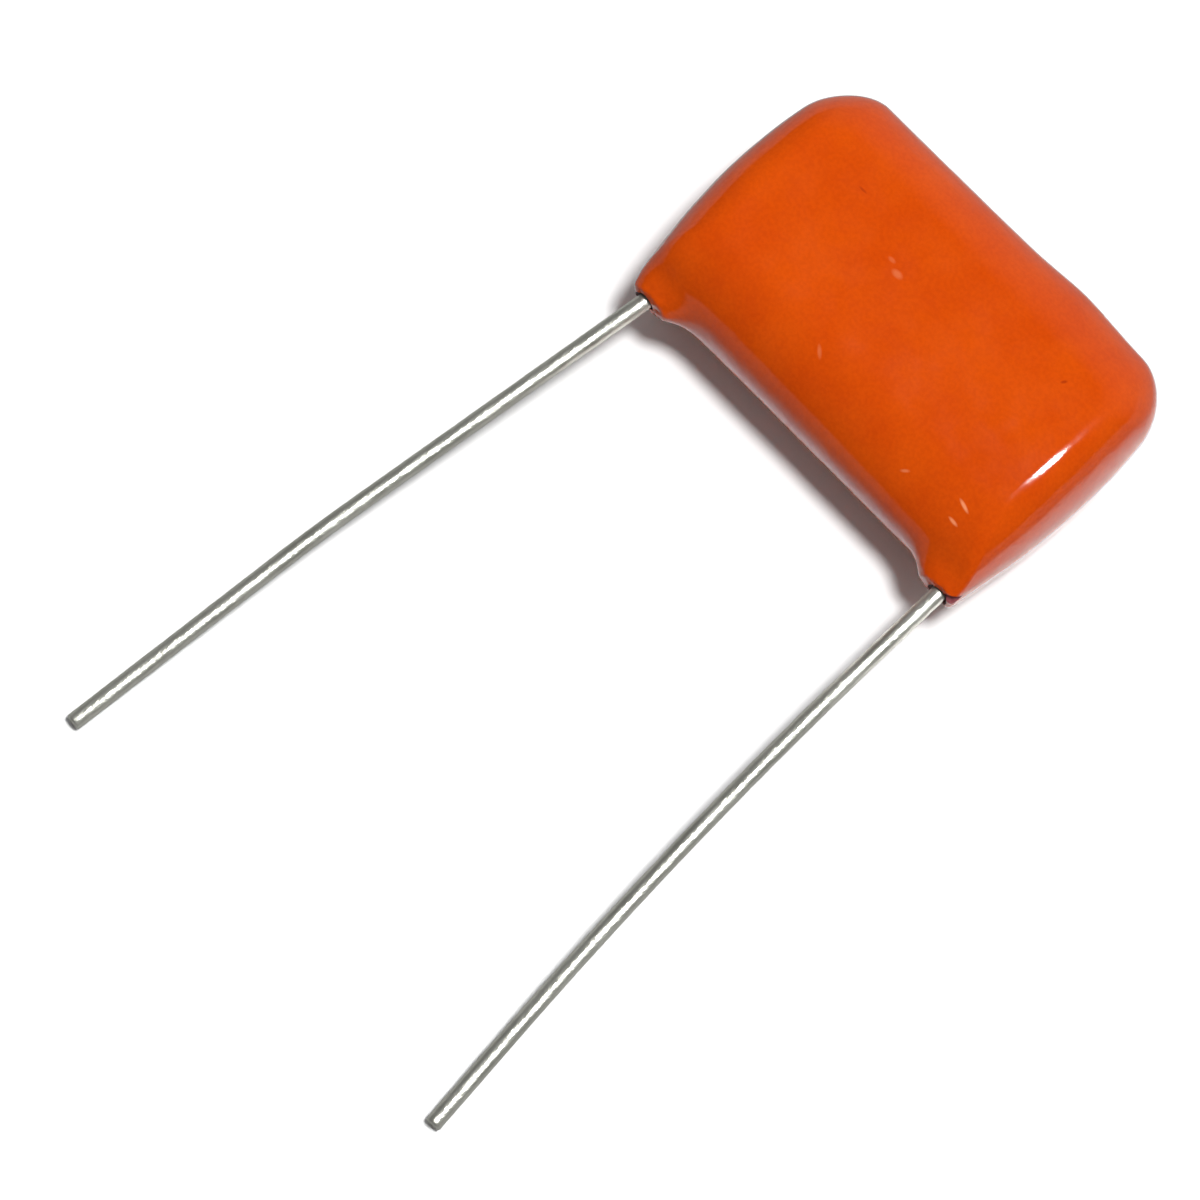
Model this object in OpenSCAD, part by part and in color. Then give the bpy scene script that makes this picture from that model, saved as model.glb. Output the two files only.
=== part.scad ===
// Film capacitor, epoxy dipped, with two tinned wire leads.
// It lies on its back face as it would on a bench: Z is up through the
// thickness, X runs from the left lead to the right lead, and the leads run
// towards -Y and slope down until their tips touch the surface. The origin is
// on the bench, midway between the leads and under the middle of the roll.

/* [Coating] */
// Coating beyond the left lead, where the body is widest
cover_left = 1.55; // [1.3:0.05:2.5]
// Coating beyond the right lead, where the body is widest
cover_right = 1.2; // [1.1:0.05:2.5]
// Height of the body from the lead side to the far side
coat_h = 14.1; // [12:0.1:18]
// Thickness of the body
coat_t = 7.2; // [6:0.1:9]
// Least thickness of coating over the roll
coat_wall = 0.7; // [0.5:0.05:0.9]
// How far the rounding of each end reaches in from the end
end_round = 2.3; // [1.5:0.1:3]
// Corner radius beside each lead
corner_lead = 0.8; // [0.6:0.1:1.8]
// Corner radius at the far left
corner_far_left = 3.1; // [2:0.1:3.5]
// Corner radius at the far right
corner_far_right = 2.9; // [2:0.1:3.5]
// Corner radius of the flat faces, on the lead side
face_corner_lead = 1; // [0.5:0.1:1.5]
// Corner radius of the flat faces, on the far side
face_corner_far = 1.4; // [0.5:0.1:2]
// How much narrower the left end gets towards its corners
taper_left = 0.9; // [0:0.05:0.9]
// How much narrower the right end gets towards its corners
taper_right = 0.7; // [0:0.05:0.7]
// How far the widest point of the right end lies beyond the middle
taper_shift = 0.3; // [0:0.1:0.5]
// How far in from an end its narrowing starts
taper_reach = 3; // [2:0.1:4]
// Height of the coating run that hardened on the far side
run_h = 0.25; // [0:0.05:0.4]
// Position of the run, to the right of the middle
run_x = 4.3; // [-6:0.1:6]
// Width of the run
run_w = 4.5; // [2:0.1:6]

/* [Shoulders] */
// How far the coating is drawn out along each lead
shoulder_len = 0.7; // [0.3:0.05:1]
// Reach of a shoulder towards the middle of the body
shoulder_in = 1.45; // [0.8:0.05:1.6]
// Reach of a shoulder towards the end of the body
shoulder_out = 1.15; // [0.8:0.05:1.3]
// Reach of a shoulder up and down from the lead
shoulder_up = 1; // [0.7:0.05:1.3]
// How blunt a shoulder is where the lead comes out
shoulder_blunt = 2; // [1.1:0.05:2.2]

/* [Winding] */
// Thickness of the sprayed metal on each end of the roll
spray_t = 0.4; // [0.2:0.05:0.7]
// Width of the slit that the winding mandrel left
slit_w = 0.3; // [0.15:0.05:0.5]

/* [Leads] */
// Distance between the two lead axes where they leave the coating
lead_pitch = 18.9; // [17:0.05:21]
// Diameter of the tinned wire
wire_d = 0.8; // [0.6:0.01:0.9]
// Depth to which the wire is welded into the sprayed metal
weld_sink = 0.1; // [0.05:0.01:0.2]
// How far the wire runs past the middle of the roll's end
weld_run = 3.5; // [0:0.1:5]
// Radius of the bend inside the coating that points a lead down to the surface
drop_r = 4; // [3:0.5:5]
// How much the wire thins in a bend, on its radius
bend_thin = 0.005; // [0.004:0.001:0.01]
// Length of the left lead outside the coating
left_len = 32.5; // [28:0.1:40]
// Angle by which the left lead turns outwards
left_splay = 7.6; // [2:0.1:10]
// Radius of the left lead's outward bend, inside the coating
left_splay_r = 4; // [3:0.5:5]
// Length of the left lead up to the middle of the bend that turns it back
left_first = 18.5; // [8:0.1:20]
// Angle by which the left lead turns back
left_back = 2.4; // [1:0.1:6]
// Radius of the bend that turns the left lead back
left_back_r = 110; // [60:5:120]
// Length of the right lead outside the coating
right_len = 33.4; // [32:0.1:40]
// Length of the right lead up to the start of its outward sweep
right_first = 4; // [2:0.1:5]
// Angle by which the right lead sweeps outwards
right_sweep = 5.3; // [1:0.1:5.5]
// Radius of the right lead's sweep
right_sweep_r = 260; // [150:10:270]

/* [Hidden] */
$fn = 64;

mid_h = coat_t / 2;                            // height of the lead axes in the body
lead_x = lead_pitch / 2;                       // a lead axis, from the middle
wire_r = wire_d / 2;
coat_left = lead_x + wire_r + cover_left;      // the body's left end, from the middle
coat_right = lead_x + wire_r + cover_right;    // the body's right end, from the middle
spray_face = lead_x - wire_r + weld_sink;      // outer face of a sprayed end
roll_len = 2 * (spray_face - spray_t);
roll_t = coat_t - 2 * coat_wall;
roll_h = coat_h - 2 * coat_wall;
shoulder_y = coat_h / 2 + shoulder_len;        // the shoulder's tip, towards the leads
shoulder_root = 2.2;                           // a shoulder starts this far up the lead side
shoulder_rise = 2;                             // and has all its length after this much
bend_y = roll_h / 2 + 0.2;                     // a lead's first bend starts just past the roll
arc_lap = 0.05;                                // a straight length's reach into a bend
cut_over = 0.5;                                // a cut's reach past what it cuts

// Numbers of points round the coating's outline and over its edge
n_lead_side = 26;
n_far_side = 18;
n_end = 13;
n_corner = 8;
n_over = 20;
n_bend = 240;                                  // steps that a full circle of bent wire would have
// How strongly the points crowd together beside the leads, and the rings near the rim
side_crowding = 0.7;
ring_crowding = 0.25;

// ---- coating: a flat pillow whose edge is rounded from outline to outline ----

// Points from p to q, crowded towards both ends by a share from 0 to 1
function line_points(p, q, n, crowding = 0) =
  [for (i = [0:n - 1]) let (t = i / n, e = (1 - cos(180 * t)) / 2) p + (q - p) * (t + (e - t) * crowding)];

// A quarter circle of points about c, starting at the angle given
function corner_points(c, r, start) =
  [for (i = [0:n_corner - 1]) let (a = start + 90 * i / n_corner) c + r * [cos(a), sin(a)]];

// A rounded rectangle from -left to right, anticlockwise from its lead side.
// r: radii at the left lead, the right lead, the far right and the far left
function outline(left, right, hh, r) = concat(
  line_points([-left + r[0], -hh], [right - r[1], -hh], n_lead_side, side_crowding),
  corner_points([right - r[1], -hh + r[1]], r[1], -90),
  line_points([right, -hh + r[1]], [right, hh - r[2]], n_end),
  corner_points([right - r[2], hh - r[2]], r[2], 0),
  line_points([right - r[2], hh], [-left + r[3], hh], n_far_side),
  corner_points([-left + r[3], hh - r[3]], r[3], 90),
  line_points([-left, hh - r[3]], [-left, -hh + r[0]], n_end),
  corner_points([-left + r[0], -hh + r[0]], r[0], 180)
);

function clamp01(v) = max(0, min(1, v));
function bell(v, w) = exp(-v * v / (w * w));

// The outline's own unevenness: ends that narrow towards their corners, and the run
function uneven(p) =
  let (
    from_end = p.x < 0 ? coat_left + p.x : coat_right - p.x,
    near_end = clamp01(1 - from_end / taper_reach),
    narrower = p.x < 0 ? taper_left * pow(2 * p.y / coat_h, 2)
                       : -taper_right * pow(2 * (p.y - taper_shift) / coat_h, 2),
    run = p.y > 0 ? run_h * bell(p.x - run_x, run_w / 2) : 0
  ) [p.x + narrower * near_end, p.y + run];

// How far a point of the surface is drawn out along the nearer lead
function drawn_out(p, z) =
  let (
    across = abs(p.x) - lead_x,
    reach = across < 0 ? shoulder_in : shoulder_out,
    near_side = clamp01((shoulder_root - coat_h / 2 - p.y) / shoulder_rise)
  ) shoulder_len * near_side * min(1, shoulder_blunt * bell(across, reach) * bell(z - mid_h, shoulder_up));

rim = [for (p = outline(coat_left, coat_right, coat_h / 2,
                        [corner_lead, corner_lead, corner_far_right, corner_far_left])) uneven(p)];
face = outline(coat_left - end_round, coat_right - end_round, coat_h / 2 - coat_t / 2,
               [face_corner_lead, face_corner_lead, face_corner_far, face_corner_far]);
n_rim = len(rim);

// One closed ring of the pillow's surface, at an angle above (or below) its rim
function ring(a) =
  let (s = 1 - cos(a), z = mid_h + coat_t / 2 * sin(a))
  [for (i = [0:n_rim - 1]) let (p = rim[i] + (face[i] - rim[i]) * s) [p.x, p.y - drawn_out(p, z), z]];

// The rings crowd together near the rim, where the shoulders are
ring_angles = [for (j = [0:n_over]) let (u = 2 * j / n_over - 1)
  90 * ((1 - ring_crowding) * u + ring_crowding * u * u * u)];

// A flat cap: triangles from a middle point to a ring that starts at index "at"
function cap(middle, at, up) =
  [for (i = [0:n_rim - 1]) let (a = at + i, b = at + (i + 1) % n_rim) up ? [middle, b, a] : [middle, a, b]];

module pillow() {
  n_surface = (n_over + 1) * n_rim;
  polyhedron(
    points = concat([for (a = ring_angles) each ring(a)], [[0, 0, 0], [0, 0, coat_t]]),
    faces = concat(
      cap(n_surface, 0, false),
      [for (j = [0:n_over - 1], i = [0:n_rim - 1]) let (a = j * n_rim + i, b = j * n_rim + (i + 1) % n_rim)
        each [[a, a + n_rim, b], [b, a + n_rim, b + n_rim]]],
      cap(n_surface + 1, n_over * n_rim, true)
    )
  );
}

// ---- the flattened roll and what is fixed to it ----

// A flattened round section of the size given, extruded along X about the middle
module flattened(h, t, len) {
  translate([0, 0, mid_h]) rotate([90, 0, 90])
    linear_extrude(len, center = true) {
      square([h - t, t], center = true);
      for (s = [-1, 1]) translate([s * (h - t) / 2, 0]) circle(d = t);
    }
}

// What a lead's axis carries: Z runs along the wire from its weld, towards the lead side
module on_lead_axis(side) {
  translate([side * lead_x, weld_run, mid_h]) rotate([90, 0, 0]) children();
}

module end_spray(side) {
  difference() {
    translate([side * (spray_face - spray_t / 2), 0, 0]) flattened(roll_h, roll_t, spray_t);
    on_lead_axis(side) cylinder(r = wire_r, h = inner_len);
  }
}

// A wire along Z that follows steps of [straight length, bend radius, bend angle, direction]
module wire(steps, i = 0) {
  step = steps[i];
  before = i > 0 ? arc_lap : 0;
  after = i < len(steps) - 1 ? arc_lap : 0;
  translate([0, 0, -before]) cylinder(r = wire_r, h = step[0] + before + after);
  if (i < len(steps) - 1)
    translate([0, 0, step[0]]) rotate([0, 0, step[3]]) translate([step[1], 0, 0]) {
      rotate([90, 0, 0]) rotate_extrude(angle = -step[2], start = 180, $fn = n_bend)
        translate([step[1], 0]) circle(r = wire_r - bend_thin);
      rotate([0, step[2], 0]) translate([-step[1], 0, 0]) rotate([0, 0, -step[3]]) wire(steps, i + 1);
    }
}

// The angle that brings a lead's axis down to wire_r at its tip, when it reaches
// "reach" beyond its first bend
function drop_angle(reach) =
  asin((lead_fall - drop_r) / norm([reach, drop_r])) + atan2(drop_r, reach);

// The length of the first bend of a lead that is "len" long outside
function drop_arc(len) = drop_r * asin(lead_fall / len) * PI / 180;

// Directions in which a lead bends, about its own axis
down = -90;
to_right = 0;
to_left = 180;

lead_fall = mid_h - wire_r;
inner_len = weld_run + bend_y;                 // the straight length beside the roll
cover_len = shoulder_y - bend_y;               // from the first bend to the shoulder's tip
gap_len = 0.15;                                // straight wire between two bends in the coating

// Left lead: down and outwards inside the coating, then back
left_arc = left_splay_r * left_splay * PI / 180;
left_back_arc = left_back_r * left_back * PI / 180;
left_end = left_splay - left_back;
left_second = cover_len + left_first - drop_arc(left_len) - gap_len - left_arc - left_back_arc / 2;
left_last = left_len - left_first - left_back_arc / 2;
left_drop = drop_angle(
  gap_len + left_splay_r * sin(left_splay) + left_second * cos(left_splay)
  + left_back_r * (sin(left_splay) - sin(left_end)) + left_last * cos(left_end));
left_steps = [
  [inner_len, drop_r, left_drop, down],
  [gap_len, left_splay_r, left_splay, to_left],
  [left_second, left_back_r, left_back, to_right],
  [left_last]
];

// Right lead: down inside the coating, then outwards in one long sweep
right_arc = right_sweep_r * right_sweep * PI / 180;
right_second = cover_len + right_first - drop_arc(right_len);
right_last = right_len - right_first - right_arc;
right_drop = drop_angle(
  right_second + right_sweep_r * sin(right_sweep) + right_last * cos(right_sweep));
right_steps = [
  [inner_len, drop_r, right_drop, down],
  [right_second, right_sweep_r, right_sweep, to_right],
  [right_last]
];

module lead_left()
  color([0.78, 0.78, 0.76]) on_lead_axis(-1) wire(left_steps);

module lead_right()
  color([0.78, 0.78, 0.76]) on_lead_axis(1) wire(right_steps);

module film_winding()
  color([0.83, 0.83, 0.85]) difference() {
    flattened(roll_h, roll_t, roll_len);
    flattened(roll_h - roll_t + slit_w, slit_w, roll_len + 2 * cut_over);
  }

module end_spray_left()
  color([0.55, 0.56, 0.58]) end_spray(-1);

module end_spray_right()
  color([0.55, 0.56, 0.58]) end_spray(1);

module epoxy_coating()
  color([0.87, 0.33, 0.05]) difference() {
    pillow();
    flattened(roll_h, roll_t, 2 * spray_face);
    on_lead_axis(-1) wire(left_steps);
    on_lead_axis(1) wire(right_steps);
  }

epoxy_coating();
film_winding();
end_spray_left();
end_spray_right();
lead_left();
lead_right();
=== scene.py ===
import math

import bmesh
import bpy
import numpy as np
from mathutils import Matrix, Vector, noise


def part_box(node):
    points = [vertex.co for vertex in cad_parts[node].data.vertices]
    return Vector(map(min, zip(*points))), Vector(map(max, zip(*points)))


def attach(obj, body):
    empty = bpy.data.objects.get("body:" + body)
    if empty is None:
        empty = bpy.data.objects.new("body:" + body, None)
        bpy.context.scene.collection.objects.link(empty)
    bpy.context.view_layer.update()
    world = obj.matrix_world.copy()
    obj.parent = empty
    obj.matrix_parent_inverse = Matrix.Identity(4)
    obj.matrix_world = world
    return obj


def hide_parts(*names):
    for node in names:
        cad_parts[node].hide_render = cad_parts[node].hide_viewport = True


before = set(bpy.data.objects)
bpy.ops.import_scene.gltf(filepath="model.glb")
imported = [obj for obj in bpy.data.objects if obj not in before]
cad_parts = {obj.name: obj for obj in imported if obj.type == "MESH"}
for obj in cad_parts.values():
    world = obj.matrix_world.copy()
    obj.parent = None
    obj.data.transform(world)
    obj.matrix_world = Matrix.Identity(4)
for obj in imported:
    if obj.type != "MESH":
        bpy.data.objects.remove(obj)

# A dipped film capacitor that lies on its back face. X runs from the left lead to the right one,
# the leads point towards -Y, and Z is up. Lengths are in millimetres up to the point where a mesh
# is made, and in metres only where a comment says so.
MM = 0.001


def corners(node):
    """The lowest and highest corner of a CAD node, in millimetres."""
    return [np.array(corner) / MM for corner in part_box(node)]


COAT_HIGH = corners("epoxy_coating")[1]
SPRAY_HIGH = corners("end_spray_right")[1]
WINDING_LOW, WINDING_HIGH = corners("film_winding")
LEAD_HIGH = corners("lead_left")[1]

# Coating: half the leads' spacing, their radius, how far the coating goes past each of them, its
# size along the leads, and its thickness
LEAD_X = 9.45
WIRE_R = 0.4
COVER_LEFT = 1.55
COVER_RIGHT = 1.2
COAT_LEFT = LEAD_X + WIRE_R + COVER_LEFT
COAT_RIGHT = LEAD_X + WIRE_R + COVER_RIGHT
COAT_H = 14.1
COAT_T = COAT_HIGH[2]
MID_H = COAT_T / 2

# The radii of its corners, in the outline and round the flat faces, and how far in from its ends
# the flat faces stop
CORNER_LEAD_LEFT = 0.8
CORNER_LEAD_RIGHT = 0.3
CORNER_FAR_LEFT = 3.1
CORNER_FAR_RIGHT = 2.9
FACE_CORNER_LEAD = 1.0
FACE_CORNER_FAR = 1.4
END_ROUND = 2.3

# How much its ends narrow towards their corners, where the right one is widest, and over what
# length. Then the run that hardened on the far side: its height, its middle and its width.
TAPER_LEFT = 0.9
TAPER_RIGHT = 0.7
TAPER_SHIFT = 0.3
TAPER_REACH = 3.0
RUN_H = 0.25
RUN_X = 4.3
RUN_W = 4.5

# Shoulders: how far the coating is drawn out along each lead, how far they reach from the lead
# inwards, outwards and up, how blunt they are, and where they start and how slowly they grow
SHOULDER_LEN = 0.7
SHOULDER_IN = 1.45
SHOULDER_OUT_LEFT = 1.15
SHOULDER_OUT_RIGHT = 1.5
SHOULDER_UP = 1.0
SHOULDER_BLUNT = 2.0
SHOULDER_ROOT = 2.2
SHOULDER_RISE = 2.0
SHOULDER_Y = -COAT_H / 2 - SHOULDER_LEN

# The crown of the top: its radius at each end, and how far its highest line shifts at the right.
# An END_WALL below 1 makes that rounded end leaner, and one above 1 makes it fuller.
CROWN_R_LEFT = 90.0
CROWN_R_RIGHT = 22.0
CROWN_Y = 0.75
END_WALL_LEFT, END_WALL_RIGHT = 1.15, 0.92

# Unevenness of the dried coating, each with its depth, the size of its features and its seed:
# lumps near the leads, a slow swell, a fine ripple, and the ragged ends of the shoulders. The
# lumps reach LUMP_REACH from a lead. The ragged ends start RAGGED_FROM beyond the body's side and
# grow over RAGGED_RISE.
LUMP, LUMP_SIZE, LUMP_SEED = 0.08, 1.6, 4.0
SWELL, SWELL_SIZE, SWELL_SEED = 0.03, 5.0, 3.0
RIPPLE, RIPPLE_SIZE, RIPPLE_SEED = 0.004, 0.9, 5.0
RAGGED, RAGGED_SIZE, RAGGED_SEED = 0.05, 0.45, 8.0
LUMP_REACH = 2.6
RAGGED_FROM, RAGGED_RISE = 0.25, 0.3

# The pit around each lead, where the coating has shrunk away from the wire: its width, its depth
# and its unevenness, the gap further in, and how far past the coating its tool reaches
PIT_W = 0.2
PIT_DEPTH = 0.5
PIT_UNEVEN, PIT_UNEVEN_SIZE = 0.5, 0.8
PIT_SEED_LEFT, PIT_SEED_RIGHT = 2.0, 4.0
BORE_GAP = 0.005
BORE_PAST = 0.4

# The chip at the right shoulder's end, outside the lead: its middle, the way its face looks, half
# its size down the slope and across, and how far the block that breaks it off reaches outwards
CHIP_AT = (10.12, -7.54, 3.82)
CHIP_FACING = (0.40, -0.55, 0.73)
CHIP_DOWN, CHIP_ACROSS, CHIP_REACH = 0.32, 0.42, 0.8

# Pale flecks, which are painted highlights (glints where small bumps catch the light), and dark
# specks: x, y, z, turn in degrees, half length, half width and strength.
# MARK_UP is half a mark's height. MARK_FULL of the way in from its edge, it has its full strength.
PAINTED_GLINTS = (
    (7.67, -4.87, 6.39, -15, 0.44, 0.10, 0.9),
    (7.80, -5.62, 5.95, -4, 0.34, 0.09, 0.8),
    (4.65, -5.57, 6.12, 35, 0.26, 0.09, 0.4),
    (-2.05, 0.48, 7.14, 0, 0.36, 0.22, 0.3),
    (-2.70, 0.79, 7.14, 0, 0.26, 0.14, 0.2),
    (-1.89, -4.64, 6.76, -40, 0.40, 0.12, 0.25),
)
SPECKS = (
    (-5.97, 2.22, 7.13, 0, 0.28, 0.08, 0.7),
    (6.71, 2.46, 7.11, 60, 0.22, 0.09, 0.8),
)
MARK_UP = 0.5
MARK_FULL = 0.6

# Leads: where the inner end lies, where the bend beyond the end spray starts and its radius, the
# straight stretch after it, how far the wire then comes down, and its lengths along the end spray
# and from there through the coating
WELD_RUN = LEAD_HIGH[1]
BEND_GAP = 0.2
BEND_Y = SPRAY_HIGH[1] + BEND_GAP
DROP_R = 4.0
GAP_LEN = 0.15
LEAD_FALL = MID_H - WIRE_R
INNER_LEN = WELD_RUN + BEND_Y
COVER_LEN = COAT_H / 2 + SHOULDER_LEN - BEND_Y

# The left lead's length outside the coating, its turn outwards, and how far out it turns back
LEFT_LEN = 32.5
LEFT_SPLAY = math.radians(7.6)
LEFT_SPLAY_R = 4.0
LEFT_FIRST = 18.5
LEFT_BACK = math.radians(2.4)
LEFT_BACK_R = 110.0

# The right lead's length outside the coating, how far out its sweep outwards starts, and the sweep
RIGHT_LEN = 33.4
RIGHT_FIRST = 4.0
RIGHT_SWEEP = math.radians(5.3)
RIGHT_SWEEP_R = 260.0

# The wires' drawing marks, and how each wire rounds off towards its cut end: a ring's share of
# the radius, and its place along the wire from that end
SKIN, SKIN_SIZE, SKIN_STRETCH = 0.006, 0.3, 3.0
SKIN_SEED_LEFT, SKIN_SEED_RIGHT = 1.0, 7.0
TIP = (
    (1.0, -0.16),
    (0.985, -0.10),
    (0.95, -0.055),
    (0.89, -0.02),
    (0.8, 0.0),
    (0.5, 0.0),
    (0.25, 0.0),
)

# How finely the meshes are divided: the points on each side, end and corner of the outline, the
# steps over the edge, the rings on each flat face, the roll's round sides, and the wires. Then how
# much points crowd near the leads and steps near the middle of the edge, the longest edge that is
# closed up, and the angles that count as sharp.
N_LEAD_SIDE = 150
N_FAR_SIDE = 90
N_END = 50
N_CORNER = 18
N_OVER = 120
N_CAP = 30
N_ROLL = 41
N_ROUND = 48
RING_GAP = 0.1
LEAD_SIDE_EASE = 0.7
CROWDING = 0.25
SLIVER = 0.001
COAT_SHARP = math.radians(40)
WIRE_SHARP = math.radians(50)

# A square's corners and a wire's cross-section, anticlockwise
SQUARE = ((-1, -1), (1, -1), (1, 1), (-1, 1))
AROUND = 2 * math.pi * np.arange(N_ROUND) / N_ROUND
CIRCLE = np.column_stack([np.cos(AROUND), np.sin(AROUND), np.zeros(N_ROUND)])


# ---- small helpers ----

# How much weaker and how much finer each octave of the noise is, and how a seed shifts it
FRACTAL_FALL, FRACTAL_STEP = 0.8, 2.1
SEED_Y, SEED_Z = 2.3, -1.7


def clamp01(v):
    """A value kept between 0 and 1."""
    return np.clip(v, 0.0, 1.0)


def bell(v, w):
    """A bell curve of height 1 that falls to 1/e at a distance of w."""
    return np.exp(-(v / w) ** 2)


def fractal(points, size, octaves, seed):
    """Smooth noise of about -1 to 1 at each point, with features about "size" across."""
    shift = Vector((seed, SEED_Y * seed, SEED_Z * seed))
    places = [Vector(p) / size + shift for p in points]
    return np.array([noise.fractal(place, FRACTAL_FALL, FRACTAL_STEP, octaves) for place in places])


def make_object(name, points, faces):
    """An object from points in millimetres."""
    mesh = bpy.data.meshes.new(name)
    mesh.from_pydata((np.asarray(points) * MM).tolist(), [], faces)
    mesh.validate()
    mesh.update()
    obj = bpy.data.objects.new(name, mesh)
    bpy.context.scene.collection.objects.link(obj)
    return obj


def closed_strip(first, second, count):
    """Quads between two closed rings of points that start at these indices."""
    return [(first + i, second + i, second + (i + 1) % count, first + (i + 1) % count) for i in range(count)]


def closed_strips(rings, count):
    """Quads from each closed ring of points to the next."""
    faces = []
    for j in range(rings - 1):
        faces += closed_strip(j * count, (j + 1) * count, count)
    return faces


def closed_fan(middle, first, count, onwards):
    """Triangles from a point to a closed ring, onwards round the ring or back."""
    pairs = [(first + i, first + (i + 1) % count) for i in range(count)]
    return [(middle, a, b) if onwards else (middle, b, a) for a, b in pairs]


def flipped(faces):
    """The same faces, turned to look the other way."""
    return [face[::-1] for face in faces]


def shade_smooth(mesh, sharp):
    """Smooth shading, with a sharp edge wherever two faces meet at more than an angle."""
    mesh.polygons.foreach_set("use_smooth", [True] * len(mesh.polygons))
    mesh.set_sharp_from_angle(angle=sharp)


# ---- coating ----

def line_points(p, q, n, ease=0.0):
    """Points from p to just before q, even or crowded towards both ends by a share of ease."""
    t = np.arange(n) / n
    t = t + ((1 - np.cos(np.pi * t)) / 2 - t) * ease
    return np.asarray(p) + np.outer(t, np.subtract(q, p))


def corner_points(c, r, start):
    """A quarter of a circle round c from a start angle in degrees, without its last point."""
    a = np.radians(start + 90 * np.arange(N_CORNER) / N_CORNER)
    return np.asarray(c) + r * np.column_stack([np.cos(a), np.sin(a)])


def outline(left, right, hh, r):
    """A rounded rectangle from -left to right and -hh to hh, anticlockwise from its lead side."""
    return np.concatenate([
        line_points([-left + r[0], -hh], [right - r[1], -hh], N_LEAD_SIDE, LEAD_SIDE_EASE),
        corner_points([right - r[1], -hh + r[1]], r[1], -90),
        line_points([right, -hh + r[1]], [right, hh - r[2]], N_END),
        corner_points([right - r[2], hh - r[2]], r[2], 0),
        line_points([right - r[2], hh], [-left + r[3], hh], N_FAR_SIDE),
        corner_points([-left + r[3], hh - r[3]], r[3], 90),
        line_points([-left, hh - r[3]], [-left, -hh + r[0]], N_END),
        corner_points([-left + r[0], -hh + r[0]], r[0], 180),
    ])


def uneven(p):
    """The outline's own unevenness: ends that narrow towards their corners, and the run."""
    x, y = p[:, 0], p[:, 1]
    near_end = clamp01(1 - np.where(x < 0, COAT_LEFT + x, COAT_RIGHT - x) / TAPER_REACH)
    left = TAPER_LEFT * (2 * y / COAT_H) ** 2
    right = -TAPER_RIGHT * (2 * (y - TAPER_SHIFT) / COAT_H) ** 2
    run = np.where(y > 0, RUN_H * bell(x - RUN_X, RUN_W / 2), 0)
    return np.column_stack([x + np.where(x < 0, left, right) * near_end, y + run])


def drawn_out(x, y, z):
    """How far the coating is drawn out along the nearer lead."""
    across = np.abs(x) - LEAD_X
    reach = np.where(across < 0, SHOULDER_IN, np.where(x < 0, SHOULDER_OUT_LEFT, SHOULDER_OUT_RIGHT))
    near_side = clamp01((SHOULDER_ROOT - COAT_H / 2 - y) / SHOULDER_RISE)
    shape = SHOULDER_BLUNT * bell(across, reach) * bell(z - MID_H, SHOULDER_UP)
    return SHOULDER_LEN * near_side * np.minimum(1, shape)


def crown(x, y):
    """How far the top lies below the full thickness: the swell's depth, and more towards the
    sides, most at the right end."""
    share = clamp01((x + COAT_LEFT) / (COAT_LEFT + COAT_RIGHT))
    curve = 1 / CROWN_R_LEFT + (1 / CROWN_R_RIGHT - 1 / CROWN_R_LEFT) * share ** 2
    return SWELL + (y - CROWN_Y * share) ** 2 / 2 * curve


def edge_rings():
    """Rings over the body's rounded edge, from the back face up to the top."""
    rim = uneven(outline(COAT_LEFT, COAT_RIGHT, COAT_H / 2,
                         [CORNER_LEAD_LEFT, CORNER_LEAD_RIGHT, CORNER_FAR_RIGHT, CORNER_FAR_LEFT]))
    face = outline(COAT_LEFT - END_ROUND, COAT_RIGHT - END_ROUND, COAT_H / 2 - COAT_T / 2,
                   [FACE_CORNER_LEAD, FACE_CORNER_LEAD, FACE_CORNER_FAR, FACE_CORNER_FAR])
    n = len(rim)
    rings = []
    for u in np.linspace(-1, 1, N_OVER + 1):
        a = math.pi / 2 * ((1 - CROWDING) * u + CROWDING * u ** 3)
        inset = 1 - math.cos(a)
        end_inset = np.where(rim[:, 0] < 0, inset ** END_WALL_LEFT, inset ** END_WALL_RIGHT)
        flat = rim + (face - rim) * np.column_stack([end_inset, np.full(n, inset)])
        z = np.full(n, MID_H + COAT_T / 2 * math.sin(a))
        y = flat[:, 1] - drawn_out(flat[:, 0], flat[:, 1], z)
        rings.append(np.column_stack([flat[:, 0], y, z]))
    return rings


def face_rings(ring):
    """Rings inside one ring, shrinking towards the middle of its flat face."""
    return [ring * [1 - t, 1 - t, 1] for t in np.linspace(0, 1, N_CAP + 1)[1:-1]]


def coating_surface():
    """Points and faces of the dipped body's outer surface."""
    rings = edge_rings()
    rings = face_rings(rings[0])[::-1] + rings + face_rings(rings[-1])
    points = np.concatenate(rings + [[[0, 0, 0]], [[0, 0, COAT_T]]])
    height = clamp01(points[:, 2] / MID_H - 1)
    points[:, 2] -= crown(points[:, 0], points[:, 1]) * height ** 2
    n = len(rings[0])
    bottom, top = len(rings) * n, len(rings) * n + 1
    faces = flipped(closed_strips(len(rings), n))
    faces += closed_fan(bottom, 0, n, onwards=False)
    faces += closed_fan(top, bottom - n, n, onwards=True)
    return points, faces


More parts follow.
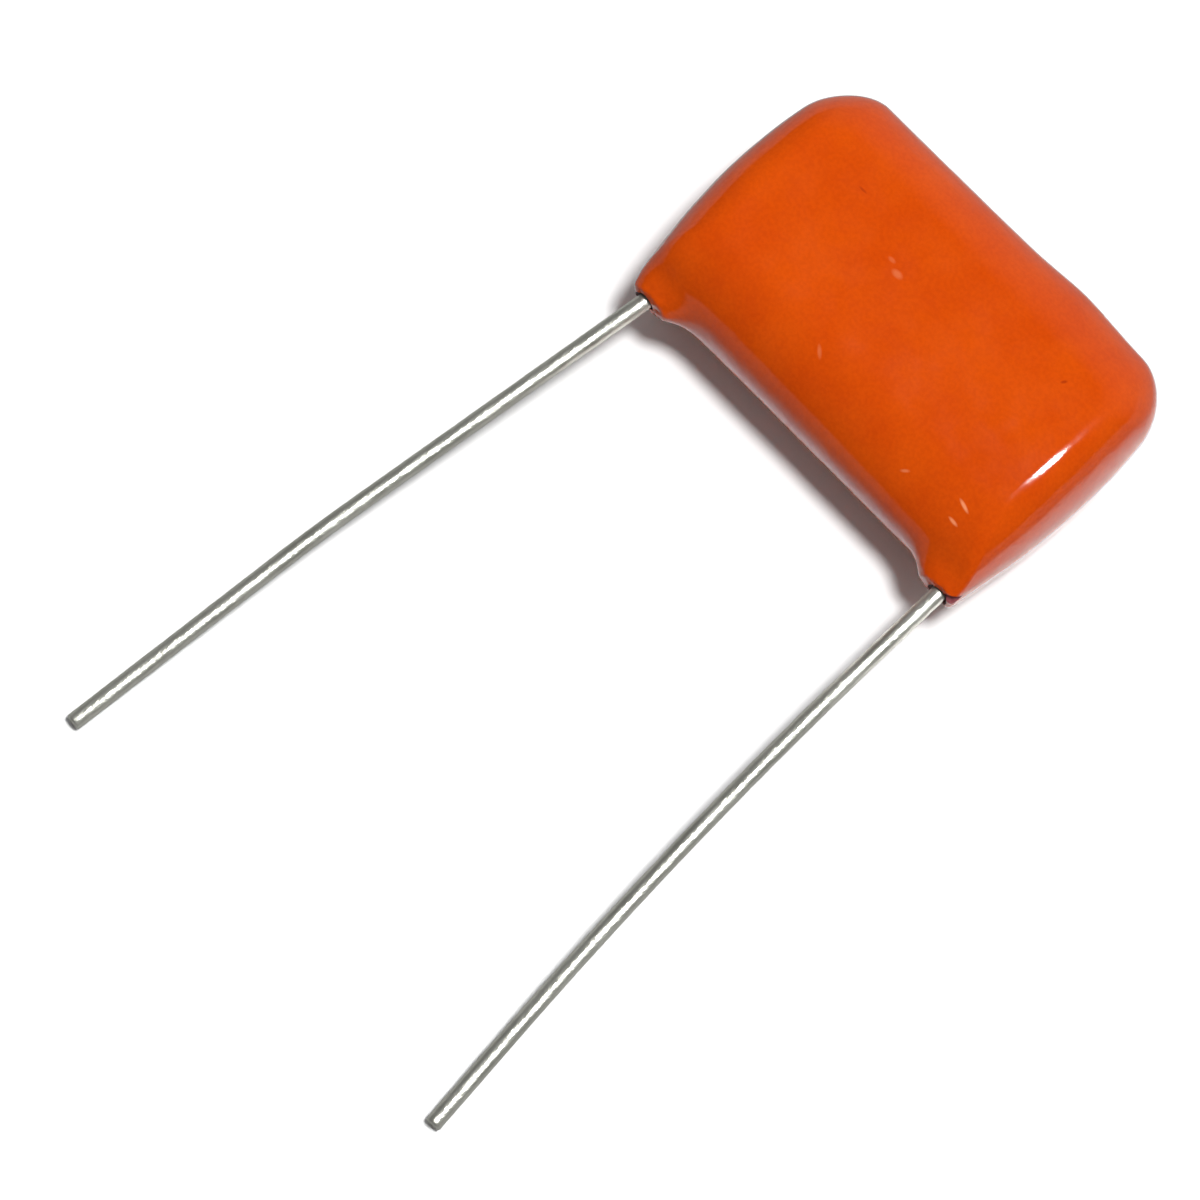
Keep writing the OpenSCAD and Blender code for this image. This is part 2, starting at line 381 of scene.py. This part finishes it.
def roughened(points, normals):
    """The surface with its swell and ripple, and the shoulders with their lumps and ragged ends."""
    near_lead = np.hypot(np.abs(points[:, 0]) - LEAD_X, points[:, 1] - SHOULDER_Y) / LUMP_REACH
    lumps = LUMP * bell(near_lead, 1.0) * fractal(points, LUMP_SIZE, 1, LUMP_SEED)
    swell = SWELL * fractal(points, SWELL_SIZE, 2, SWELL_SEED)
    ripple = RIPPLE * fractal(points, RIPPLE_SIZE, 2, RIPPLE_SEED)
    end = clamp01((-COAT_H / 2 - RAGGED_FROM - points[:, 1]) / RAGGED_RISE)
    ragged = RAGGED * end * fractal(points, RAGGED_SIZE, 2, RAGGED_SEED)
    rough = points + normals * (swell + ripple + ragged + lumps)[:, None]
    rough[:, 2] = np.clip(rough[:, 2], 0, COAT_T)
    return rough


def cut(obj, tools):
    """Takes the tools' solids out of an object and removes the tools. The cut faces keep the
    tools' materials."""
    for tool in tools:
        modifier = obj.modifiers.new("cut", "BOOLEAN")
        modifier.object = tool
        modifier.solver = "MANIFOLD"
        modifier.material_mode = "TRANSFER"
    depsgraph = bpy.context.evaluated_depsgraph_get()
    result = bpy.data.meshes.new_from_object(obj.evaluated_get(depsgraph))
    obj.modifiers.clear()
    obj.data = result
    for tool in tools:
        bpy.data.objects.remove(tool)
    close_slivers(result)


def close_slivers(mesh):
    """Draws together the ends of every edge that is too short to matter."""
    edit = bmesh.new()
    edit.from_mesh(mesh)
    bmesh.ops.triangulate(edit, faces=[face for face in edit.faces if len(face.verts) > 4])
    bmesh.ops.dissolve_degenerate(edit, dist=SLIVER * MM, edges=edit.edges[:])
    edit.to_mesh(mesh)
    edit.free()


def roll_tool():
    """The flattened roll with its end sprays, as one solid."""
    h = (WINDING_HIGH[2] - WINDING_LOW[2]) / 2
    w = WINDING_HIGH[1] - h
    a = np.linspace(-math.pi / 2, math.pi / 2, N_ROLL)
    half = np.column_stack([w + h * np.cos(a), h * np.sin(a)])
    ring = np.concatenate([half, -half])
    n = len(ring)
    ends = [np.column_stack([np.full(n, x), ring[:, 0], MID_H + ring[:, 1]])
            for x in (-SPRAY_HIGH[0], SPRAY_HIGH[0])]
    faces = closed_strip(0, n, n) + [tuple(range(n)), tuple(range(2 * n - 1, n - 1, -1))]
    return make_object("roll_tool", np.concatenate(ends), flipped(faces))


def bore_tool(x, steps, seed):
    """The lead's path through the coating, widening into a pit where the wire comes out."""
    path = follow(Vector((x, WELD_RUN, MID_H)), steps)
    places = [place for place in path if place.translation.y > SHOULDER_Y - BORE_PAST]
    uneven_pit = 1 + PIT_UNEVEN * fractal(CIRCLE, PIT_UNEVEN_SIZE, 2, seed)
    rings = []
    for place in places:
        flare = clamp01((SHOULDER_Y + PIT_DEPTH - place.translation.y) / PIT_DEPTH) ** 2
        r = WIRE_R + BORE_GAP + PIT_W * flare * uneven_pit
        rings.append(placed(CIRCLE * r[:, None], np.array(place)))
    last = (len(rings) - 1) * N_ROUND
    faces = closed_strips(len(rings), N_ROUND)
    faces += [tuple(range(N_ROUND)), tuple(range(last + N_ROUND - 1, last - 1, -1))]
    return make_object("bore_tool", np.concatenate(rings), flipped(faces))


def chip_tool():
    """A block that breaks the outer corner off the right shoulder's end."""
    axes = Vector(CHIP_FACING).to_track_quat("Z", "X").to_matrix()
    points = [Vector(CHIP_AT) + axes @ Vector((x * CHIP_DOWN, y * CHIP_ACROSS, z))
              for z in (0, CHIP_REACH) for x, y in SQUARE]
    walls = flipped(closed_strip(0, 4, 4))
    return make_object("chip_tool", points, [(3, 2, 1, 0), (4, 5, 6, 7)] + walls)


def build_coating(epoxy, pit, chip):
    """The dipped body, with the roll, the leads' bores and the chip taken out of it."""
    points, faces = coating_surface()
    coating = make_object("dipped_coating", points, faces)
    normals = np.array([v.normal for v in coating.data.vertices])
    coating.data.vertices.foreach_set("co", (roughened(points, normals) * MM).ravel())
    tools = [
        roll_tool(),
        bore_tool(-LEAD_X, left_steps(), PIT_SEED_LEFT),
        bore_tool(LEAD_X, right_steps(), PIT_SEED_RIGHT),
        chip_tool(),
    ]
    # The pits and the chip take their painted shade from these materials.
    for tool, material in zip(tools, (pit, pit, pit, chip)):
        tool.data.materials.append(material)
    coating.data.materials.append(epoxy)
    cut(coating, tools)
    shade_smooth(coating.data, COAT_SHARP)
    return coating


# ---- leads ----

# The way that a bend goes, as a turn about the wire that comes into it
DOWN, TO_RIGHT, TO_LEFT = math.radians(-90), 0.0, math.pi


def drop_angle(reach):
    """The angle that brings a lead's axis down to its own radius at its tip."""
    return math.asin((LEAD_FALL - DROP_R) / math.hypot(reach, DROP_R)) + math.atan2(DROP_R, reach)


def drop_arc(length):
    """About how long the bend is that sends a lead of this length down to the floor."""
    return DROP_R * math.asin(LEAD_FALL / length)


def left_steps():
    """Down and outwards inside the coating, then back."""
    splay_arc = LEFT_SPLAY_R * LEFT_SPLAY
    back_arc = LEFT_BACK_R * LEFT_BACK
    end = LEFT_SPLAY - LEFT_BACK
    second = COVER_LEN + LEFT_FIRST - drop_arc(LEFT_LEN) - GAP_LEN - splay_arc - back_arc / 2
    last = LEFT_LEN - LEFT_FIRST - back_arc / 2
    drop = drop_angle(GAP_LEN + LEFT_SPLAY_R * math.sin(LEFT_SPLAY) + second * math.cos(LEFT_SPLAY)
                      + LEFT_BACK_R * (math.sin(LEFT_SPLAY) - math.sin(end)) + last * math.cos(end))
    return [(INNER_LEN, None, None), (DROP_R, drop, DOWN), (GAP_LEN, None, None),
            (LEFT_SPLAY_R, LEFT_SPLAY, TO_LEFT), (second, None, None),
            (LEFT_BACK_R, LEFT_BACK, TO_RIGHT), (last, None, None)]


def right_steps():
    """Down inside the coating, then outwards in one long sweep."""
    second = COVER_LEN + RIGHT_FIRST - drop_arc(RIGHT_LEN)
    last = RIGHT_LEN - RIGHT_FIRST - RIGHT_SWEEP_R * RIGHT_SWEEP
    drop = drop_angle(second + RIGHT_SWEEP_R * math.sin(RIGHT_SWEEP) + last * math.cos(RIGHT_SWEEP))
    return [(INNER_LEN, None, None), (DROP_R, drop, DOWN), (second, None, None),
            (RIGHT_SWEEP_R, RIGHT_SWEEP, TO_RIGHT), (last, None, None)]


def follow(start, steps):
    """Places along a lead's axis, each a matrix whose Z runs along the wire."""
    at = Matrix.Translation(start) @ Matrix.Rotation(math.pi / 2, 4, "X")
    places = []
    for size, angle, direction in steps:
        length = size if angle is None else size * angle
        n = max(2, math.ceil(length / RING_GAP))
        for i in range(n):
            places.append(at @ move(size, angle, direction, i / n))
        at = at @ move(size, angle, direction, 1)
    return places + [at]


def move(size, angle, direction, share):
    """The move along a share of one step: straight, or a bend of radius "size" towards a direction."""
    if angle is None:
        return Matrix.Translation((0, 0, size * share))
    turn = Matrix.Rotation(direction, 4, "Z")
    centre = Matrix.Translation((size, 0, 0))
    bend = Matrix.Rotation(angle * share, 4, "Y")
    return turn @ centre @ bend @ centre.inverted() @ turn.inverted()


def placed(ring, place):
    """A ring of points that is drawn about the origin, moved to a place along the wire."""
    return ring @ place[:3, :3].T + place[:3, 3]


def build_lead(name, x, steps, seed):
    """A round wire along its path, drawn slightly uneven, and rounded off at its cut end."""
    places = [np.array(place) for place in follow(Vector((x, WELD_RUN, MID_H)), steps)]
    root, end = places[0], places[-1]
    rings = []
    for i, place in enumerate(places[:-2]):
        marks = CIRCLE * WIRE_R + [0, 0, i * RING_GAP / SKIN_STRETCH]
        radius = WIRE_R + SKIN * fractal(marks, SKIN_SIZE, 2, seed)
        rings.append(placed(CIRCLE * radius[:, None], place))
    for share, along in TIP:
        rings.append(placed(CIRCLE * WIRE_R * share, end) + along * end[:3, 2])
    points = np.concatenate(rings + [[end[:3, 3]], [root[:3, 3]]])
    tip_at, root_at = len(points) - 2, len(points) - 1
    faces = flipped(closed_strips(len(rings), N_ROUND))
    faces += closed_fan(tip_at, tip_at - N_ROUND, N_ROUND, onwards=True)
    faces += closed_fan(root_at, 0, N_ROUND, onwards=False)
    lead = make_object(name, points, faces)
    shade_smooth(lead.data, WIRE_SHARP)
    return lead


# ---- materials ----

# Colours. A pair is a material's darker and its paler colour.
ORANGE = ((0.575, 0.058, 0.0008), (0.620, 0.070, 0.0012))
ORANGE_GRAIN = ((0.96, 0.94, 0.92), (1.04, 1.06, 1.08))
# The pale flecks' colour is a painted highlight: glints where small bumps catch the light.
GLINT_COLOUR = (0.85, 0.30, 0.13)
SPECK = (0.36, 0.030, 0.001)
# The pit's near-black colour is painted shade: it stands in for the shade deep in the pit.
PIT_PAINTED_SHADE = ((0.03, 0.003, 0.002), (0.10, 0.008, 0.004))
# The chip's dark crimson is painted shade on its downward broken face.
CHIP_PAINTED_SHADE = ((0.19, 0.035, 0.045), (0.32, 0.080, 0.090))
TIN = ((0.62, 0.62, 0.55), (0.76, 0.76, 0.69))
FILM = ((0.70, 0.70, 0.72), (0.86, 0.86, 0.88))
SPRAY = ((0.30, 0.31, 0.33), (0.52, 0.53, 0.55))
FLOOR = ((0.90, 0.90, 0.90), (0.92, 0.92, 0.92))

# The part of the noise's range over which a colour or a roughness goes from end to end
COLOUR_FROM, COLOUR_TO = 0.35, 0.65
ROUGHNESS_FROM, ROUGHNESS_TO = 0.3, 0.7


def new_material(name):
    """A material with its nodes, its links and its shader."""
    material = bpy.data.materials.new(name)
    material.use_nodes = True
    nodes, links = material.node_tree.nodes, material.node_tree.links
    return material, nodes, links, nodes["Principled BSDF"]


def noise_node(nodes, links, scale, detail=2.0, stretch=None):
    """Noise over the object's own coordinates, in features per metre."""
    where = nodes.new("ShaderNodeTexCoord")
    texture = nodes.new("ShaderNodeTexNoise")
    texture.inputs["Scale"].default_value = scale
    texture.inputs["Detail"].default_value = detail
    if stretch:
        mapping = nodes.new("ShaderNodeMapping")
        mapping.inputs["Scale"].default_value = stretch
        links.new(where.outputs["Object"], mapping.inputs["Vector"])
        links.new(mapping.outputs["Vector"], texture.inputs["Vector"])
    else:
        links.new(where.outputs["Object"], texture.inputs["Vector"])
    return texture.outputs["Fac"]


def ramp(nodes, links, source, colours):
    """A colour that goes from the darker to the paler one as the source grows."""
    node = nodes.new("ShaderNodeValToRGB")
    for element, position, colour in zip(node.color_ramp.elements, (COLOUR_FROM, COLOUR_TO), colours):
        element.position = position
        element.color = (*colour, 1)
    links.new(source, node.inputs["Fac"])
    return node.outputs["Color"]


def map_range(nodes, links, source, start, end, low, high):
    """A node that goes from low to high as the source goes from start to end."""
    node = nodes.new("ShaderNodeMapRange")
    for socket, value in (("From Min", start), ("From Max", end), ("To Min", low), ("To Max", high)):
        node.inputs[socket].default_value = value
    links.new(source, node.inputs["Value"])
    return node


def set_roughness(nodes, links, source, shader, low, high):
    """Roughness that goes from low to high with the noise."""
    node = map_range(nodes, links, source, ROUGHNESS_FROM, ROUGHNESS_TO, low, high)
    links.new(node.outputs["Result"], shader.inputs["Roughness"])


def set_bump(nodes, links, source, shader, depth):
    """Bumps of a depth in millimetres."""
    node = nodes.new("ShaderNodeBump")
    node.inputs["Distance"].default_value = depth * MM
    node.inputs["Strength"].default_value = 1.0
    links.new(source, node.inputs["Height"])
    links.new(node.outputs["Normal"], shader.inputs["Normal"])


def mix(nodes, links, factor, first, second, way="MIX"):
    """Two colours mixed. Each of the three is a node's output, or the value itself."""
    node = nodes.new("ShaderNodeMix")
    node.data_type = "RGBA"
    node.blend_type = way
    for socket, value in (("Factor", factor), ("A", first), ("B", second)):
        if isinstance(value, bpy.types.NodeSocket):
            links.new(value, node.inputs[socket])
        elif isinstance(value, tuple):
            node.inputs[socket].default_value = (*value, 1)
        else:
            node.inputs[socket].default_value = value
    return node.outputs["Result"]


def mark(nodes, links, x, y, z, turn, half_long, half_wide, strength):
    """An oval mark: its full strength in its middle, and nothing from its edge on."""
    place = nodes.new("ShaderNodeMapping")
    place.vector_type = "TEXTURE"
    place.inputs["Location"].default_value = (x * MM, y * MM, z * MM)
    place.inputs["Rotation"].default_value = (0, 0, math.radians(turn))
    place.inputs["Scale"].default_value = (half_long * MM, half_wide * MM, MARK_UP * MM)
    links.new(nodes.new("ShaderNodeTexCoord").outputs["Object"], place.inputs["Vector"])
    oval = nodes.new("ShaderNodeTexGradient")
    oval.gradient_type = "SPHERICAL"
    links.new(place.outputs["Vector"], oval.inputs["Vector"])
    return map_range(nodes, links, oval.outputs["Fac"], 0, MARK_FULL, 0, strength).outputs["Result"]


def marked(nodes, links, colour, marks, mark_colour):
    """A colour with marks of another colour on it."""
    for each in marks:
        colour = mix(nodes, links, mark(nodes, links, *each), colour, mark_colour)
    return colour


def epoxy_material():
    """Glossy orange epoxy, finely mottled, with a few pale flecks painted as glints (painted highlights) and
    dark specks.
    """
    material, nodes, links, shader = new_material("orange_epoxy")
    mottle = ramp(nodes, links, noise_node(nodes, links, scale=350, detail=4), ORANGE)
    grain = ramp(nodes, links, noise_node(nodes, links, scale=5500), ORANGE_GRAIN)
    plain = mix(nodes, links, 1.0, mottle, grain, way="MULTIPLY")
    # Painted highlights: pale flecks where small bumps would catch the light.
    glinted = marked(nodes, links, plain, PAINTED_GLINTS, GLINT_COLOUR)
    links.new(marked(nodes, links, glinted, SPECKS, SPECK), shader.inputs["Base Color"])
    set_roughness(nodes, links, noise_node(nodes, links, scale=900), shader, low=0.08, high=0.14)
    shader.inputs["IOR"].default_value = 1.5
    set_bump(nodes, links, noise_node(nodes, links, scale=1500), shader, depth=0.006)
    return material


def broken_and_shaded_material(name, colours):
    """Epoxy where it has shrunk or broken away: dull, and darkened by painted shade for the pit's depth and
    the chip's shaded face.
    """
    material, nodes, links, shader = new_material(name)
    grain = noise_node(nodes, links, scale=5000, detail=3)
    links.new(ramp(nodes, links, grain, colours), shader.inputs["Base Color"])
    set_roughness(nodes, links, grain, shader, low=0.5, high=0.7)
    shader.inputs["IOR"].default_value = 1.4
    set_bump(nodes, links, grain, shader, depth=0.02)
    return material


def tin_material():
    """Tinned wire: drawn along its length, with a slightly lumpy, half dull coat."""
    material, nodes, links, shader = new_material("tinned_wire")
    shader.inputs["Metallic"].default_value = 0.85
    streak = noise_node(nodes, links, scale=3000, detail=3, stretch=(1, 0.06, 1))
    links.new(ramp(nodes, links, streak, TIN), shader.inputs["Base Color"])
    set_roughness(nodes, links, streak, shader, low=0.32, high=0.42)
    lumps = noise_node(nodes, links, scale=5500, stretch=(1, 0.7, 1))
    set_bump(nodes, links, lumps, shader, depth=0.028)
    return material


def film_material():
    """Metallised film: bright, with the fine lines of its layers."""
    material, nodes, links, shader = new_material("metallised_film")
    shader.inputs["Metallic"].default_value = 1.0
    layers = noise_node(nodes, links, scale=4000, stretch=(0.02, 1, 1))
    links.new(ramp(nodes, links, layers, FILM), shader.inputs["Base Color"])
    set_roughness(nodes, links, layers, shader, low=0.2, high=0.35)
    set_bump(nodes, links, layers, shader, depth=0.01)
    return material


def spray_material():
    """Sprayed metal: grey, dull and grainy."""
    material, nodes, links, shader = new_material("sprayed_metal")
    shader.inputs["Metallic"].default_value = 0.8
    grain = noise_node(nodes, links, scale=6000, detail=3)
    links.new(ramp(nodes, links, grain, SPRAY), shader.inputs["Base Color"])
    set_roughness(nodes, links, grain, shader, low=0.55, high=0.8)
    set_bump(nodes, links, grain, shader, depth=0.03)
    return material


def dress(node, material):
    """Gives a CAD node its own material."""
    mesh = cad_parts[node].data
    mesh.materials.clear()
    mesh.materials.append(material)


# ---- pieces ----

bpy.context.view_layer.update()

epoxy = epoxy_material()
# The pit's and the chip's materials carry painted shade in their dark colours.
pit = broken_and_shaded_material("pit_epoxy_painted_shade", PIT_PAINTED_SHADE)
chip = broken_and_shaded_material("chipped_epoxy_painted_shade", CHIP_PAINTED_SHADE)
coating = build_coating(epoxy, pit, chip)
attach(coating, "root")
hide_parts("epoxy_coating")

tin = tin_material()
for name, node, x, steps, seed in (
        ("wire_lead_left", "lead_left", -LEAD_X, left_steps(), SKIN_SEED_LEFT),
        ("wire_lead_right", "lead_right", LEAD_X, right_steps(), SKIN_SEED_RIGHT)):
    lead = build_lead(name, x, steps, seed)
    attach(lead, "root")
    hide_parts(node)
    lead.data.materials.append(tin)

dress("film_winding", film_material())
spray = spray_material()
dress("end_spray_left", spray)
dress("end_spray_right", spray)

# ---- stage ----

# The floor, in metres: half its width, and the pool of light that it shows in reflections, by its
# middle, half its size, and how far outside it the light starts and ends to fade
FLOOR_HALF = 2.5
POOL_MIDDLE = (0.006, -0.001, 0)
POOL_HALF = (0.0112, 0.004, 0)
POOL_NEAR, POOL_FAR = 0.002, 0.010

# How pale the floor is: in reflections, in the pool and far from it, and to diffuse rays
MIRRORED_POOL, MIRRORED_FLOOR = 1.15, 0.30
FLOOR_BOUNCE = 0.3
FLOOR_CLOUDS = 12
FLOOR_ROUGHNESS = 0.9

# The sky: what the camera sees, and its light from the near and from the far side, with the
# direction's Y from which it grows, first to diffuse rays and then in reflections
BACKDROP = 1.0
AMBIENT_NEAR, AMBIENT_FAR, AMBIENT_FROM = 0.21, 0.42, -0.2
MIRRORED_NEAR, MIRRORED_FAR, MIRRORED_FROM = 0.03, 0.35, 0.55

# The ceiling lamp gives the light and the shadows: round, soft, and nearly overhead
CEILING_LEAN = (0.15, 0.095, 1.0)
CEILING_ANGLE = math.radians(13)
CEILING_ENERGY = 3.2

# The window gives the bright reflections: long across the object and narrow along its leads.
# Its distance and its sizes are in metres.
WINDOW_LEAN = (0.285, 0.23, 1.0)
WINDOW_FAR = 0.6
WINDOW_TURN = math.radians(10)
WINDOW_LONG, WINDOW_NARROW = 0.21, 0.068
WINDOW_ENERGY = 4.5


def grey(value):
    """A grey of this brightness."""
    return (value, value, value)


def picked(nodes, links, ray, other, value):
    """One colour for one kind of ray, and the other for the rest."""
    return mix(nodes, links, nodes.new("ShaderNodeLightPath").outputs[ray], other, value)


def pool_of_light(nodes, links):
    """How pale the floor is in reflections: bright close to the body and dim further out."""
    steps = nodes.new("ShaderNodeTexCoord").outputs["Object"]
    for operation, value in (("SUBTRACT", POOL_MIDDLE), ("ABSOLUTE", None), ("SUBTRACT", POOL_HALF),
                             ("MAXIMUM", (0, 0, 0)), ("LENGTH", None)):
        node = nodes.new("ShaderNodeVectorMath")
        node.operation = operation
        links.new(steps, node.inputs[0])
        if value:
            node.inputs[1].default_value = value
        steps = node.outputs["Value" if operation == "LENGTH" else "Vector"]
    fade = map_range(nodes, links, steps, POOL_NEAR, POOL_FAR, MIRRORED_POOL, MIRRORED_FLOOR)
    fade.interpolation_type = "SMOOTHSTEP"
    return fade.outputs["Result"]


def floor_material():
    """White to the eye, and darker in what the object reflects and takes from it."""
    material, nodes, links, shader = new_material("pale_floor")
    seen = ramp(nodes, links, noise_node(nodes, links, scale=FLOOR_CLOUDS), FLOOR)
    dim = picked(nodes, links, "Is Glossy Ray", grey(FLOOR_BOUNCE), pool_of_light(nodes, links))
    links.new(picked(nodes, links, "Is Camera Ray", dim, seen), shader.inputs["Base Color"])
    shader.inputs["Roughness"].default_value = FLOOR_ROUGHNESS
    shader.inputs["Specular IOR Level"].default_value = 0.0
    return material


def build_floor():
    """A plain square under the object."""
    floor = bpy.data.objects.new("floor", bpy.data.meshes.new("floor"))
    floor.data.from_pydata([(FLOOR_HALF * x, FLOOR_HALF * y, 0) for x, y in SQUARE], [], [(0, 1, 2, 3)])
    bpy.context.scene.collection.objects.link(floor)
    floor.data.materials.append(floor_material())
    return floor


def sky_light(nodes, links, near, far, start):
    """Light from the sky that grows from one level to another towards the object's far side."""
    direction = nodes.new("ShaderNodeSeparateXYZ")
    links.new(nodes.new("ShaderNodeTexCoord").outputs["Generated"], direction.inputs["Vector"])
    return map_range(nodes, links, direction.outputs["Y"], start, 1.0, near, far).outputs["Result"]


def light_sky():
    """A white backdrop to the eye, and a dim sky that is brighter on the far side."""
    world = bpy.data.worlds.new("studio")
    bpy.context.scene.world = world
    world.use_nodes = True
    nodes, links = world.node_tree.nodes, world.node_tree.links
    ambient = sky_light(nodes, links, AMBIENT_NEAR, AMBIENT_FAR, AMBIENT_FROM)
    mirrored = sky_light(nodes, links, MIRRORED_NEAR, MIRRORED_FAR, MIRRORED_FROM)
    dim = picked(nodes, links, "Is Glossy Ray", ambient, mirrored)
    seen = picked(nodes, links, "Is Camera Ray", dim, grey(BACKDROP))
    links.new(seen, nodes["Background"].inputs["Color"])


def new_lamp(name, kind, energy):
    """A lamp of a kind, with its energy."""
    lamp = bpy.data.objects.new(name, bpy.data.lights.new(name, kind))
    lamp.data.energy = energy
    bpy.context.scene.collection.objects.link(lamp)
    return lamp


def light_ceiling():
    """The lamp that shows in no reflection."""
    ceiling = new_lamp("ceiling", "SUN", CEILING_ENERGY)
    ceiling.data.angle = CEILING_ANGLE
    ceiling.matrix_world = Vector(CEILING_LEAN).to_track_quat("Z", "Y").to_matrix().to_4x4()
    ceiling.visible_glossy = False


def light_window():
    """The lamp that shows in reflections alone."""
    window = new_lamp("window", "AREA", WINDOW_ENERGY)
    window.data.shape = "ELLIPSE"
    window.data.size, window.data.size_y = WINDOW_LONG, WINDOW_NARROW
    window.visible_diffuse = False
    lean = Vector(WINDOW_LEAN).normalized()
    across = Vector((0, 1, 0)).cross(lean).normalized()
    axes = Matrix((across, lean.cross(across), lean)).transposed().to_4x4()
    window.matrix_world = Matrix.Translation(lean * WINDOW_FAR) @ axes @ Matrix.Rotation(WINDOW_TURN, 4, "Z")


floor = build_floor()
light_sky()
light_ceiling()
light_window()

# ---- camera ----

# The object's turn in the picture, how far the camera leans off the vertical and which way, its
# distance, how far right of and above the picture's middle the object's origin lies, the scale
# there, and the lens. The clipping distances are in metres.
TURN = math.radians(45.35)
TILT = math.radians(18.5)
TILT_SIDE = math.radians(20)
DISTANCE = 350.0
AIM_RIGHT, AIM_UP = 13.727, 10.867
PIXELS_PER_MM = 21.7
FRAME_PIXELS = 1200
SENSOR_WIDTH = 36
CLIP_START, CLIP_END = 0.01, 20


def from_picture(g):
    """A vector given by the picture's own right, up and height, in the object's directions."""
    return Vector((g[0] * math.cos(TURN) - g[1] * math.sin(TURN),
                   g[0] * math.sin(TURN) + g[1] * math.cos(TURN), g[2]))


def build_camera():
    """The camera, at the picture's angle."""
    back = from_picture((-math.sin(TILT) * math.sin(TILT_SIDE), -math.sin(TILT) * math.cos(TILT_SIDE),
                         math.cos(TILT)))
    right = from_picture((0, 1, 0)).cross(back).normalized()
    up = back.cross(right)
    place = -AIM_RIGHT * right - AIM_UP * up + DISTANCE * back
    turned = Matrix((right, up, back)).transposed().to_4x4()
    camera = bpy.data.objects.new("camera", bpy.data.cameras.new("camera"))
    camera.data.sensor_width = SENSOR_WIDTH
    camera.data.lens = PIXELS_PER_MM * DISTANCE * SENSOR_WIDTH / FRAME_PIXELS
    camera.data.clip_start, camera.data.clip_end = CLIP_START, CLIP_END
    camera.matrix_world = Matrix.Translation(place * MM) @ turned
    bpy.context.scene.collection.objects.link(camera)
    return camera


bpy.context.scene.camera = build_camera()
bpy.context.scene.view_settings.view_transform = "Standard"
